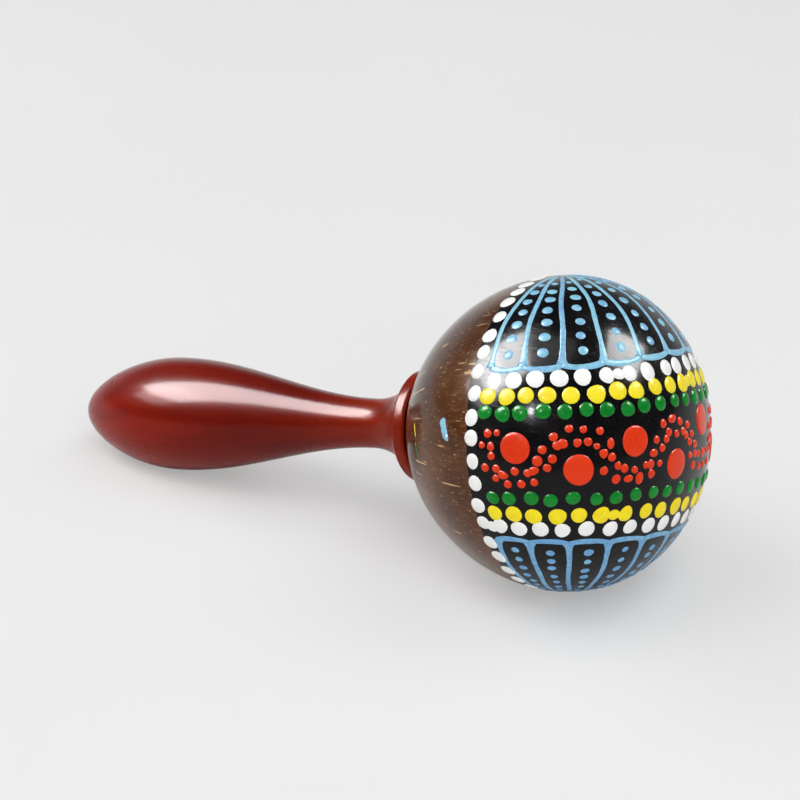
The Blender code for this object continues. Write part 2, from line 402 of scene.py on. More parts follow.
def handle_outline():
    """Butt, bulb, taper, neck, cove, flange and tenon, from the butt's tip to the tenon's end.

    The butt is half an ellipse drawn in towards its end. Half a cosine wave takes the bulb down to the
    neck, an arc that leaves the neck level makes the cove, and the flange's front follows the shell.
    """
    rim = FLANGE_RADIUS - FLANGE_EDGE
    back = np.linspace(np.pi, np.pi / 2, OUTLINE_STEPS)
    shell_s, shell_r = egg(back, SHELL_HALF_LENGTH, SHELL_RADIUS)
    front = np.interp(rim, shell_r, shell_s) - JOINT_GAP
    bulb = front - HANDLE_LENGTH + BULB_TO_BUTT
    neck = front - NECK_BEHIND_FLANGE
    back_face = front - FLANGE_THICKNESS

    away = np.cos(np.linspace(0, np.pi / 2, BUTT_ROWS))
    butt = (bulb - BULB_TO_BUTT * away, BULB_RADIUS * np.sqrt(1 - away**2) * (1 - BUTT_DRAW * away**2))

    half = np.linspace(0, np.pi, TAPER_ROWS)[1:]
    drop = (1 - np.cos(half)) / 2
    taper = (bulb + (neck - bulb) * half / np.pi, BULB_RADIUS + (NECK_RADIUS - BULB_RADIUS) * drop)

    run = back_face - neck
    rise = FLANGE_RADIUS - COVE_INSET - NECK_RADIUS
    cove_radius = (run**2 + rise**2) / (2 * rise)
    swing = np.linspace(0, 2 * math.atan2(rise, run), COVE_ROWS)[1:]
    cove = (neck + cove_radius * np.sin(swing), NECK_RADIUS + cove_radius * (1 - np.cos(swing)))

    edge = np.linspace(0, np.pi / 2, EDGE_ROWS)
    rear_edge = (back_face + FLANGE_EDGE * (1 - np.cos(edge)), rim + FLANGE_EDGE * np.sin(edge))
    front_edge = (front - FLANGE_EDGE * (1 - np.sin(edge)), rim + FLANGE_EDGE * np.cos(edge))

    seat_r = np.linspace(rim, TENON_RADIUS, SEAT_ROWS)[1:]
    seat_s = np.interp(seat_r, shell_r, shell_s) - JOINT_GAP
    tip = seat_s[-1] + TENON_LENGTH
    tenon = (np.array((tip, tip)), np.array((TENON_RADIUS, 0)))
    parts = (butt, taper, cove, rear_edge, front_edge, (seat_s, seat_r), tenon)
    return np.concatenate([np.stack(part, axis=1) for part in parts])


def drops(
    directions, radius, height, rng,
    fullness=2.8, stretch=1.0, turn=0.0, unevenness=0.03, rings=3, around=14,
):
    """Drops of paint on the shell, all at once: closed low domes with uneven edges.

    A point lies u of the way from the drop's middle to its edge, at angle v. The edge is the radius with
    a little of two and three waves round it, and the height falls off as (1 - u**fullness) ** 0.6. The
    edge goes a little below the shell's face, and one point deeper still closes the underside.
    """
    count = len(directions)
    radius = np.broadcast_to(radius, count)
    height = np.broadcast_to(height, count)
    stretch = np.broadcast_to(stretch, count)
    turn = np.broadcast_to(turn, count)
    normal = shell_normal(directions)
    east = unit(np.cross(POLE, normal))
    north = np.cross(normal, east)
    first = np.cos(turn)[:, None] * east + np.sin(turn)[:, None] * north
    second = np.cross(normal, first)

    v = np.linspace(0, 2 * np.pi, around, endpoint=False)
    u = np.sin(np.linspace(0, np.pi / 2, rings + 1)[1:])
    phase = rng.uniform(0, 2 * np.pi, (2, count, 1))
    depth = rng.normal(0, unevenness, (2, count, 1))
    edge = 1 + depth[0] * np.cos(2 * v + phase[0]) + depth[1] * np.cos(3 * v + phase[1])
    reach = radius[:, None, None] * u[:, None] * edge[:, None, :]
    east_way = reach * np.cos(v) * stretch[:, None, None]
    north_way = reach * np.sin(v)
    base = on_shell(directions, 0.0) - HEAD_MIDDLE
    aside = east_way[..., None] * first[:, None, None]
    spots = base[:, None, None] + aside + north_way[..., None] * second[:, None, None]
    proud = height[:, None] * (1 - u**fullness) ** 0.6
    proud[:, -1] = -PAINT_SINK
    proud = np.broadcast_to(proud[..., None], spots.shape[:3])
    skin = on_shell(spots, proud).reshape(count, rings * around, 3)
    crest = on_shell(directions, height)[:, None]
    root = on_shell(directions, -PAINT_ROOT)[:, None]
    points = np.concatenate((crest, skin, root), axis=1)

    ring = 1 + np.arange(rings * around).reshape(rings, around)
    beside = np.roll(ring, -1, axis=1)
    top = np.stack((np.zeros(around, dtype=int), ring[0], beside[0]), axis=-1)
    bands = np.stack((ring[:-1], ring[1:], beside[1:], beside[:-1]), axis=-1).reshape(-1, 4)
    under = np.stack((np.full(around, rings * around + 1), beside[-1], ring[-1]), axis=-1)
    on_rim = np.zeros(points.shape[1], dtype=bool)
    on_rim[ring[-1]] = True
    return points, [top, bands, under], on_rim


def strokes(paths, half_width, height, top_points=6):
    """Brush strokes along rows of directions, all at once: closed ribbons with a domed top.

    Across a stroke the section is half an ellipse, cos(q) sideways and sin(q) upwards, and one point
    below the shell's face closes it.
    """
    count, steps = paths.shape[:2]
    line = on_shell(paths, 0.0)
    ahead = unit(np.gradient(line, axis=1))
    normal = shell_normal(paths)
    sideways = np.cross(normal, ahead)
    q = np.linspace(0, np.pi, top_points)
    aside = np.append(np.cos(q), 0)
    lift = np.append(np.sin(q), 0)
    width = np.broadcast_to(half_width, (count, steps))
    tall = np.broadcast_to(height, (count, steps)) * np.minimum(width / width.max(), 1) ** 0.5
    shift = (width[..., None] * aside)[..., None] * sideways[:, :, None]
    spots = (line - HEAD_MIDDLE)[:, :, None] + shift
    proud = tall[..., None] * lift
    proud[..., [0, top_points - 1]] = -PAINT_SINK
    proud[..., -1] = -PAINT_ROOT
    points = on_shell(spots, proud).reshape(count, -1, 3)

    section = top_points + 1
    index = np.arange(steps * section).reshape(steps, section)
    beside = np.roll(index, -1, axis=1)
    sides = np.stack((index[:-1], beside[:-1], beside[1:], index[1:]), axis=-1).reshape(-1, 4)
    ends = np.stack((index[0, ::-1], index[-1]))
    on_rim = np.zeros(points.shape[1], dtype=bool)
    on_rim[index[:, [0, top_points - 1]]] = True
    return points, [sides, ends], on_rim


def paint_piece(name, batches, material, rng, painted_shade_batches=()):
    """One piece from batches of equal shapes. Each shape gets its own tint between -1 and 1.

    The shapes of the shaded batches get more, which takes them to the paint's other colour: painted
    shade.
    """
    points = []
    faces = []
    rims = []
    tints = []
    start = 0
    # Painted shade: the shaded batches are pushed to the paint's other, darker colour
    shifts = [0] * len(batches) + [PAINTED_SHADE_TINT] * len(painted_shade_batches)
    for (shapes, shape_faces, on_rim), shift in zip([*batches, *painted_shade_batches], shifts):
        count, size = shapes.shape[:2]
        offset = start + size * np.arange(count)[:, None, None]
        faces += [(block[None] + offset).reshape(-1, block.shape[1]) for block in shape_faces]
        points.append(shapes.reshape(-1, 3))
        rims.append(np.tile(on_rim, count))
        tints.append(np.repeat(shift + rng.uniform(-1, 1, count), size))
        start += count * size
    piece = mesh_piece(
        name, np.concatenate(points), faces, material, np.concatenate(rims), tint=np.concatenate(tints)
    )
    return piece


def dot_rows(rows, height, rng):
    """Rows of dots over the front, from -reach to reach in longitude and closer together at their ends.

    The spread is x (1 + c) - c x**3 of the reach, for x from -1 to 1. Where two dots have run together,
    a smaller drop fills the gap between them.
    """
    batches = []
    for latitude, count, reach, radius, joined, stretch in rows:
        x = np.linspace(-1, 1, count)
        even = reach * (x * (1 + ROW_CROWDING) - ROW_CROWDING * x**3)
        longitude = even + rng.normal(0, ROW_JITTER, count)
        wander = rng.normal(0, ROW_WANDER, count)
        spots = paint_direction(longitude, swollen(latitude, longitude, BAND_SWELL) + wander)
        sizes = radius * rng.normal(1, ROW_SIZE_SPREAD, count)
        stretches = rng.normal(stretch, ROW_STRETCH_SPREAD, count)
        batches.append(drops(spots, sizes, height, rng, stretch=stretches))
        if joined is not None:
            gap = unit(spots[joined : joined + 1] + spots[joined + 1 : joined + 2])
            batches.append(drops(gap, 0.66 * radius, 0.9 * height, rng, stretch=1.15))
    return batches


def white_ring(rng):
    """White dots all round the shell where the black paint ends, in a plane that leans a little back.

    A dot at angle v stands along cos(v) to the pole and sin(v) to the side, and forward of the middle by
    an amount that falls with cos(v).
    """
    even = RING_FIRST + 360 / RING_COUNT * np.arange(RING_COUNT)
    angle = np.radians(even + rng.normal(0, RING_JITTER, RING_COUNT))
    wander = rng.normal(0, RING_WANDER, RING_COUNT)
    forward = RING_FORWARD - RING_TILT * np.cos(angle) + wander
    round_about = np.cos(angle)[:, None] * POLE - np.sin(angle)[:, None] * SIDE
    spots = unit(round_about + forward[:, None] / SHELL_RADIUS * AXIS)
    radius = RING_DOT_RADIUS * rng.normal(1, RING_SIZE_SPREAD, RING_COUNT)
    return drops(spots, radius, WHITE_HEIGHT, rng, stretch=0.96)


def red_discs(rng):
    """Large flat discs along the middle of the band at equal steps, by turns above and below it."""
    latitude = np.array(DISC_LATITUDES)
    longitude = DISC_FIRST + DISC_STEP * np.arange(len(latitude))
    spots = paint_direction(longitude, latitude)
    return drops(
        spots, DISC_RADIUS, DISC_HEIGHT, rng,
        fullness=8.0, stretch=0.98, unevenness=0.012, rings=5, around=28,
    )


def red_trail(rng):
    """Small dots in two staggered rows that wave round the discs.

    The trail's middle swings about its mean latitude as the cosine of the longitude, once up and down
    for two discs, and a hyperbolic tangent of that cosine makes its sides steep. The dots stand at equal
    steps of its length, by turns to its left and right. Its first end curls over the first disc.
    """
    longitude = np.linspace(*TRAIL_ENDS, 3000)
    swing = np.cos(np.pi * (longitude - DISC_FIRST) / DISC_STEP)
    wave = np.tanh(TRAIL_STEEPNESS * swing) / math.tanh(TRAIL_STEEPNESS)
    line = paint_direction(longitude, TRAIL_MIDDLE - TRAIL_SWING * wave)
    steps = np.linalg.norm(np.diff(line, axis=0), axis=1) * SHELL_RADIUS
    length = np.append(0, np.cumsum(steps))
    count = int(length[-1] / TRAIL_STEP)
    at = TRAIL_STEP * (np.arange(count) + 0.5) + rng.normal(0, TRAIL_JITTER, count)
    spots = np.stack([np.interp(at, length, line[:, axis]) for axis in range(3)], axis=1)
    ahead = np.stack([np.interp(at, length, np.gradient(line[:, axis])) for axis in range(3)], axis=1)
    left = unit(np.cross(spots, ahead))
    turns = np.where(np.arange(count) % 2 == 0, 1, -1)
    offset = turns * TRAIL_HALF_WIDTH + rng.normal(0, TRAIL_WANDER, count)
    spots = unit(spots + left * offset[:, None] / SHELL_RADIUS)
    curl = paint_direction(np.array(CURL_LONGITUDES), np.array(CURL_LATITUDES))
    spots = np.concatenate((curl, spots))
    count = len(spots)
    radius = TRAIL_DOT_RADIUS * rng.normal(1, TRAIL_SIZE_SPREAD, count)
    dragged = rng.uniform(size=count) < DRAGGED_SHARE
    stretch = np.where(dragged, DRAGGED_STRETCH, 1.02)
    turn = rng.uniform(0, np.pi, count)
    return drops(spots, radius, TRAIL_HEIGHT, rng, stretch=stretch, turn=turn, rings=2, around=12)


def fan_longitudes(lag):
    """Longitudes of the fan's lines: crowded towards the ring, and lagging a little over the front."""
    x = np.linspace(-1, 1, PETALS + 1)
    return FAN_REACH * (x * (1 + FAN_CROWDING) - FAN_CROWDING * x**3) - lag * (1 - x**2)


def towards(start, pole, angle):
    """Directions reached from start by turning through each angle towards the pole."""
    whole = np.arccos(np.clip(start @ pole, -1, 1))[..., None]
    share = angle / whole
    ahead = np.sin((1 - share) * whole) / np.sin(whole)
    behind = np.sin(share * whole) / np.sin(whole)
    return ahead[..., None] * start[..., None, :] + behind[..., None] * pole


def bowed(directions, longitude, share, waver):
    """Moves lines sideways by sin(pi * share), away from the one line that runs straight to the pole."""
    bow = np.clip(LINE_BOW * (longitude - LINE_STRAIGHT_AT), -LINE_BOW_MOST, LINE_BOW_MOST)
    aside = (np.radians(bow)[:, None] + waver) * np.sin(np.pi * share)
    return unit(directions + aside[..., None] * unit(np.cross(POLE, directions)))


def fan_lines(joints, longitude, pole, rng):
    """Lines from their joints towards the fan's pole, and a flat drop in the corner of each joint.

    A line wavers as a sine. Its half width flares by exp(-distance / run) at the joint, thins evenly,
    and ends in a point.
    """
    share = np.linspace(0, 1, LINE_STEPS)
    angle = share * (np.arccos(joints @ pole) - math.radians(LINE_STOP))[:, None]
    phase = rng.uniform(0, 1, (len(joints), 1))
    waver = LINE_WAVER * np.sin(2 * np.pi * (share * LINE_WAVES + phase))
    lines = bowed(towards(joints, pole, angle), longitude, share, waver)
    flare = LINE_FLARE * np.exp(-angle * SHELL_RADIUS / LINE_FLARE_RUN)
    pointed = np.sqrt(np.clip((1 - share) * 12, 0.02, 1))
    uneven = 1 + 0.08 * np.sin(9 * share + 900 * waver)
    half_width = (LINE_HALF_WIDTH * (1 - LINE_THINNING * share) + flare) * pointed * uneven
    inset = np.full((len(joints), 1), math.radians(CORNER_INSET))
    corners = towards(joints, pole, inset)[:, 0]
    return [
        strokes(lines, half_width, LINE_HEIGHT),
        drops(corners, CORNER_RADIUS, LINE_HEIGHT, rng, stretch=1.2, rings=2, around=12),
    ]


def fan_scallops(edge_latitude, longitude, swell, sag, rng):
    """Scallops from joint to joint. A share f of the way, one sags by 1 - |2 f - 1| ** fullness."""
    f = np.linspace(0, 1, SCALLOP_STEPS)
    across = longitude[:-1, None] + np.diff(longitude)[:, None] * f
    dip = sag * (1 - np.abs(2 * f - 1) ** SCALLOP_FULLNESS)
    latitude = swollen(edge_latitude, across, swell) - np.sign(edge_latitude) * dip
    uneven = 1 + 0.10 * np.cos(2 * np.pi * f + rng.uniform(0, 6, (PETALS, 1)))
    return strokes(paint_direction(across, latitude), SCALLOP_HALF_WIDTH * uneven, LINE_HEIGHT)


def fan_dots(feet, longitude, pole, dot_radius, dot_start, dot_pitch, rng):
    """A column of dots up the middle of each petal, smaller towards the pole and where it is thin."""
    even = np.radians(dot_start + dot_pitch * np.arange(PETAL_DOTS))
    place = even + rng.normal(0, PETAL_DOT_JITTER, (PETALS, PETAL_DOTS))
    share = place / (np.arccos(feet @ pole) - math.radians(LINE_STOP))[:, None]
    waver = rng.normal(0, PETAL_DOT_WANDER, place.shape)
    column = bowed(towards(feet, pole, place), longitude, share, waver).reshape(-1, 3)
    count = len(column)
    shrink = 1 - PETAL_DOT_THINNING * np.tile(np.arange(PETAL_DOTS) / (PETAL_DOTS - 1), PETALS)
    radius = dot_radius * shrink * rng.normal(1, PETAL_DOT_SIZE_SPREAD, count)
    petal_width = SHELL_RADIUS * np.pi / PETALS * np.sin(np.arccos(column @ pole))
    radius = np.minimum(radius, DOT_WIDEST * petal_width)
    stretch = rng.normal(1.06, PETAL_DOT_STRETCH_SPREAD, count)
    return drops(column, radius, PETAL_DOT_HEIGHT, rng, stretch=stretch, rings=2, around=12)


def blue_fan(edge_latitude, swell, sag, lag, dot_radius, dot_start, dot_pitch, rng):
    """Petals from one pole, which leans to the front: lines and scallops, and columns of dots."""
    lean = math.radians(FAN_POLE_LEAN)
    pole = math.cos(lean) * np.sign(edge_latitude) * POLE + math.sin(lean) * AXIS
    longitude = fan_longitudes(lag)
    middle = (longitude[:-1] + longitude[1:]) / 2
    joints = paint_direction(longitude, swollen(edge_latitude, longitude, swell))
    feet = paint_direction(middle, swollen(edge_latitude, middle, swell))
    lines = fan_lines(joints, longitude, pole, rng)
    lines.append(fan_scallops(edge_latitude, longitude, swell, sag, rng))
    dots = fan_dots(feet, middle, pole, dot_radius, dot_start, dot_pitch, rng)
    return lines, [dots]


def stray_marks(rng):
    """Thin drops that a brush left on the bare shell behind the ring, drawn out along one slant."""
    def smear(longitude, latitude, radius, stretch):
        spots = paint_direction(np.array(longitude), np.array(latitude))
        slant = math.radians(114)
        return drops(spots, radius, SMEAR_HEIGHT, rng, stretch=stretch, turn=slant, unevenness=0.12)

    blue = smear([-106.0, -105.2, -104.3], [8.6, 7.0, 5.0], 0.00135, 1.5)
    green = smear([-126.6, -125.5], [-1.6, -3.8], 0.00042, 3.4)
    yellow = smear([-128.3, -127.4], [5.6, 3.6], 0.00022, 5.0)
    white = smear([-103.6], [4.6], 0.00062, 1.5)
    return blue, green, yellow, white


class Wire:
    """A socket's output that joins in sums, so that shader maths reads as Python.

    A wire with no socket yet only starts a tree.
    """

    def __init__(self, tree, socket=None):
        self.tree = tree
        self.socket = socket

    def node(self, kind, settings, sockets, output=0):
        """Adds a node of any kind: its settings first, then the values or links of its sockets."""
        added = self.tree.nodes.new(kind)
        for key, value in settings.items():
            setattr(added, key, value)
        for key, value in sockets.items():
            if isinstance(value, Wire):
                self.tree.links.new(value.socket, added.inputs[key])
            else:
                added.inputs[key].default_value = value
        return Wire(self.tree, added.outputs[output])

    def maths(self, operation, first, second=0.0):
        return self.node("ShaderNodeMath", {"operation": operation}, {0: first, 1: second})

    def __add__(self, other):
        return self.maths("ADD", self, other)

    def __radd__(self, other):
        return self.maths("ADD", other, self)

    def __sub__(self, other):
        return self.maths("SUBTRACT", self, other)

    def __rsub__(self, other):
        return self.maths("SUBTRACT", other, self)

    def __mul__(self, other):
        return self.maths("MULTIPLY", self, other)

    def __rmul__(self, other):
        return self.maths("MULTIPLY", other, self)

    def between(self, low, high):
        """0 below low, 1 above high, and a smooth step from one to the other."""
        settings = {"interpolation_type": "SMOOTHSTEP"}
        sockets = {"Value": self, "From Min": low, "From Max": high}
        return self.node("ShaderNodeMapRange", settings, sockets)

    def blend(self, colour, other):
        """The first colour where this wire is 0 and the other where it is 1."""
        sockets = {"Factor": self, 6: colour, 7: other}
        return self.node("ShaderNodeMix", {"data_type": "RGBA"}, sockets, output=2)

    def noise(self, scale, detail=3.0, roughness=0.55):
        """Cloudy values about one half, at this many waves to a unit of the wire's coordinates."""
        sockets = {"Vector": self, "Scale": scale, "Detail": detail, "Roughness": roughness}
        return self.node("ShaderNodeTexNoise", {}, sockets)

    def scaled(self, x, y, z):
        """A vector stretched or squeezed along its three directions."""
        return self.node("ShaderNodeVectorMath", {"operation": "MULTIPLY"}, {0: self, 1: (x, y, z)})

    def attribute(self, name, output):
        """A value or vector that mesh_piece put on the points."""
        return self.node("ShaderNodeAttribute", {"attribute_name": name}, {}, output=output)

    def part(self, way):
        """One of a vector's three numbers: X, Y or Z."""
        return self.node("ShaderNodeSeparateXYZ", {}, {"Vector": self}, output=way)

    def bumps(self, depth):
        """A normal that follows this wire's height, depth metres from 0 to 1."""
        return self.node("ShaderNodeBump", {}, {"Height": self, "Distance": depth, "Strength": 1.0})


def rgb(red, green, blue):
    return (red, green, blue, 1.0)


def new_finish(name):
    """A material's shader, and a wire to start its pattern from: the object's own coordinates."""
    material = bpy.data.materials.new(name)
    material.use_nodes = True
    shader = material.node_tree.nodes["Principled BSDF"]
    place = Wire(material.node_tree).node("ShaderNodeTexCoord", {}, {}, output="Object")
    return material, shader, place


def feed(shader, **sockets):
    """Links wires to the shader's sockets and sets plain values on them: Base_Color is Base Color."""
    for key, value in sockets.items():
        socket = shader.inputs[key.replace("_", " ")]
        if isinstance(value, Wire):
            value.tree.links.new(value.socket, socket)
        else:
            socket.default_value = value


def shell_finish():
    """Polished brown coconut with tan flecks and dark pits, and black gloss paint on its front half."""
    material, shader, place = new_finish("coconut_and_black_paint")
    own = place.attribute("around_axis", "Vector")
    forward = place.attribute("forward", "Fac")

    # Bare shell: cloudy brown, pale fibres, flecks and specks, and dark pits
    clouds = place.noise(42.0, 4.0)
    fibre = own.scaled(46.0, 46.0, 260.0).noise(0.9, 5.0, 0.62)
    brown = clouds.between(0.35, 0.68).blend(rgb(0.060, 0.017, 0.0036), rgb(0.118, 0.041, 0.011))
    brown = (fibre.between(0.5, 0.72) * 0.6).blend(brown, rgb(0.200, 0.088, 0.032))
    streak = own.scaled(30.0, 30.0, 80.0).noise(0.85, 1.5, 0.5).between(0.685, 0.715)
    fleck = own.scaled(30.0, 30.0, 170.0).noise(3.2, 2.0, 0.5).between(0.68, 0.71)
    speck = place.noise(1500.0, 1.0).between(0.735, 0.765) * clouds.between(0.45, 0.55)
    light = streak.maths("MAXIMUM", streak, fleck * 0.8)
    brown = (light * 0.9).blend(brown, rgb(0.62, 0.38, 0.18))
    brown = (speck * 0.8).blend(brown, rgb(0.70, 0.45, 0.16))
    pits = place.noise(900.0, 2.0).between(0.66, 0.74)
    brown = (pits * 0.75).blend(brown, rgb(0.012, 0.006, 0.003))

    # Black paint, forward of an edge that wobbles
    wobble = place.noise(160.0, 3.0) - 0.5
    edge = forward + wobble * BLACK_EDGE_WOBBLE
    painted = edge.between(BLACK_EDGE - BLACK_EDGE_BLUR, BLACK_EDGE + BLACK_EDGE_BLUR)
    smear = place.noise(75.0, 4.0)
    black = smear.between(0.3, 0.8).blend(rgb(0.0022, 0.0022, 0.0032), rgb(0.0060, 0.0042, 0.0042))
    colour = painted.blend(brown, black)

    # Gloss, rubbed in fine scratches, and the relief of fibres, pits and brush
    rubbing = {"Vector": place, "Rotation": (0.4, 0.9, 0.3), "Scale": (90.0, 1300.0, 1300.0)}
    scratch = place.node("ShaderNodeMapping", {}, rubbing).noise(1.0, 2.0)
    brown_rough = 0.14 + 0.14 * fibre
    black_rough = 0.16 + 0.14 * smear.between(0.35, 0.75) + 0.12 * scratch.between(0.5, 0.7)
    rough = brown_rough + painted * (black_rough - brown_rough)
    relief = fibre * 0.25 + pits * -0.5 + place.noise(60.0, 2.0) * 0.8
    brushed = place.noise(210.0, 2.0) * 0.3 + place.noise(38.0, 2.0) * 1.2 + scratch * 0.10
    height = relief * (1 - painted) + painted * (brushed + 1.4)
    feed(
        shader,
        Base_Color=colour,
        Roughness=rough,
        IOR=VARNISH_IOR,
        Coat_Weight=0.6 - 0.2 * painted,
        Coat_Roughness=0.09,
        Coat_IOR=VARNISH_IOR,
        Normal=height.bumps(0.00006),
    )
    return material


def handle_finish():
    """Red-brown lacquer over turned hardwood, darkest along the taper, with grain along the axis."""
    material, shader, place = new_finish("red_brown_lacquer")
    tilt = math.asin(AXIS[2])
    sockets = {"Vector": place, "Location": tuple(HEAD_MIDDLE), "Rotation": (0.0, -tilt, 0.0)}
    own = place.node("ShaderNodeMapping", {"vector_type": "TEXTURE"}, sockets)
    grain = own.scaled(0.10, 1.0, 1.0)
    figure = grain.noise(170.0, 4.0, 0.6)
    pores = own.scaled(0.06, 1.0, 1.0).noise(1500.0, 2.0)
    along = own.part("X")
    neckward = along.between(*NECKWARD)
    dark = neckward.blend(rgb(0.225, 0.0070, 0.0003), rgb(0.112, 0.0034, 0.0002))
    light = neckward.blend(rgb(0.300, 0.0105, 0.0006), rgb(0.152, 0.0055, 0.0004))
    flangeward = along.between(*FLANGEWARD)
    dark = flangeward.blend(dark, rgb(0.205, 0.0105, 0.0010))
    light = flangeward.blend(light, rgb(0.280, 0.0180, 0.0022))
    wood = figure.between(0.30, 0.70).blend(dark, light)
    wood = (pores.between(0.60, 0.72) * 0.3).blend(wood, rgb(0.090, 0.0030, 0.0006))
    worn = place.noise(55.0, 3.0)
    feed(
        shader,
        Base_Color=wood,
        Roughness=0.20 + 0.12 * worn,
        IOR=LACQUER_IOR,
        Coat_Weight=0.5,
        Coat_Roughness=0.12,
        Coat_IOR=VARNISH_IOR,
        Normal=(figure * 0.5 + pores * 0.3 + worn * 0.8).bumps(0.00005),
    )
    return material


def enamel(name, colour, other, roughness):
    """Thick hobby paint: its colour drifts to another, drop by drop and in faint clouds; shapes given
    painted shade take the other colour.
    """
    material, shader, place = new_finish(name)
    tint = place.attribute("tint", "Fac")
    clouds = place.noise(700.0, 3.0)
    drift = (clouds.between(0.3, 0.7) * 0.6 + tint * 0.25).between(0.0, 1.0)
    feed(
        shader,
        Base_Color=drift.blend(colour, other),
        Roughness=roughness + 0.18 * place.noise(420.0, 2.0),
        IOR=VARNISH_IOR,
        Coat_Weight=0.4,
        Coat_Roughness=0.10,
        Coat_IOR=VARNISH_IOR,
        Normal=(place.noise(900.0, 2.0) + 0.6 * clouds).bumps(0.00004),
    )
    return material


def glue_finish():
    """Dark set glue with a lumpy skin."""
    material, shader, place = new_finish("set_glue")
    lumps = place.noise(500.0, 3.0)
    colour = lumps.between(0.3, 0.7).blend(rgb(0.018, 0.010, 0.007), rgb(0.045, 0.024, 0.014))
    feed(
        shader,
        Base_Color=colour,
        Roughness=0.4 + 0.3 * lumps,
        IOR=VARNISH_IOR,
        Normal=lumps.bumps(0.0003),
    )
    return material


def seed_finish():
    """Hard dry seeds with a mottled skin."""
    material, shader, place = new_finish("seed_skin")
    mottle = place.noise(650.0, 4.0)
    colour = mottle.between(0.35, 0.65).blend(rgb(0.060, 0.026, 0.012), rgb(0.170, 0.085, 0.038))
    feed(
        shader,
        Base_Color=colour,
        Roughness=0.35 + 0.25 * mottle,
        IOR=VARNISH_IOR,
        Normal=mottle.bumps(0.00015),
    )
    return material


def painted_coconut():
    """A fine shell in place of the faceted one. Each point knows how far forward of the middle it lies.

    Inside, that is set far back, so that the cavity stays bare.
    """
    outline = shell_outline()
    own = around_outline(outline, SHELL_AROUND)
    points = turned_points(outline, SHELL_AROUND)
    spokes = points - HEAD_MIDDLE
    lean = RING_TILT / SHELL_RADIUS * (spokes @ POLE)
    reach = np.interp(off_axis(spokes)[0], OUTLINE_ANGLE, OUTLINE_REACH)
    outside = np.linalg.norm(spokes, axis=1) > reach - SHELL_WALL / 2
    shell = mesh_piece(
        "painted_coconut",
        points,
        turned_faces(len(outline) - 2, SHELL_AROUND),
        shell_finish(),
        around_axis=own,
        forward=np.where(outside, own[:, 2] + lean, -SHELL_HALF_LENGTH),
    )
    shell.data.set_sharp_from_angle(angle=SHARP_ANGLE)
    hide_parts("coconut_shell")


def turned_handle():
    """A fine handle in place of the faceted one."""
    outline = handle_outline()
    handle = mesh_piece(
        "turned_handle",
        turned_points(outline, HANDLE_AROUND),
        turned_faces(len(outline) - 2, HANDLE_AROUND),
        handle_finish(),
    )
    handle.data.set_sharp_from_angle(angle=SHARP_ANGLE)
    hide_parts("handle")


def painted_pattern():
    """All the dots, discs and lines of paint on the head."""
    rng = np.random.default_rng(8)
    white = [white_ring(rng), *dot_rows(WHITE_ROWS, WHITE_HEIGHT, rng)]
    yellow = dot_rows(YELLOW_ROWS, YELLOW_HEIGHT, rng)
    green = dot_rows(GREEN_ROWS, GREEN_HEIGHT, rng)
    upper_lines, upper_dots = blue_fan(
        29.9, swell=0.12, sag=1.3, lag=2.8, dot_radius=0.00158, dot_start=4.8, dot_pitch=6.3, rng=rng
    )
    lower_lines, lower_dots = blue_fan(
        -34.1, swell=0.08, sag=1.0, lag=0.6, dot_radius=0.00128, dot_start=4.4, dot_pitch=5.0, rng=rng
    )
    run = paint_direction(np.array([RUN_LONGITUDE]), np.array([RUN_LATITUDE]))
    white.append(drops(run, RUN_RADIUS, RUN_HEIGHT, rng))
    blue_smear, green_smear, yellow_smear, white_smear = stray_marks(rng)

    white_paint = enamel("white_paint", rgb(0.93, 0.93, 0.91), rgb(0.88, 0.88, 0.86), 0.30)
    yellow_paint = enamel("yellow_paint", rgb(0.95, 0.80, 0.020), rgb(0.93, 0.69, 0.010), 0.28)
    green_paint = enamel("green_paint", rgb(0.005, 0.240, 0.026), rgb(0.002, 0.165, 0.014), 0.12)
    red_paint = enamel("red_paint", rgb(0.770, 0.043, 0.005), rgb(0.690, 0.031, 0.004), 0.22)
    # The darker second blue is both the paint's drift from drop to drop and painted shade on the lower
    # fan
    blue_paint = enamel("blue_paint", rgb(0.262, 0.585, 0.745), rgb(0.155, 0.360, 0.645), 0.30)
    paint_piece("white_dots", white + [white_smear], white_paint, rng)
    paint_piece("yellow_dots", yellow + [yellow_smear], yellow_paint, rng)
    paint_piece("green_dots", green + [green_smear], green_paint, rng)
    paint_piece("red_discs", [red_discs(rng)], red_paint, rng)
    paint_piece("red_trail", [red_trail(rng)], red_paint, rng)
    # The lower fan's lines and dots get painted shade: the darker blue stands in for less light under
    # the head
    paint_piece("blue_petals", upper_lines, blue_paint, rng, painted_shade_batches=lower_lines)
    paint_piece("blue_dots", upper_dots + [blue_smear], blue_paint, rng, painted_shade_batches=lower_dots)


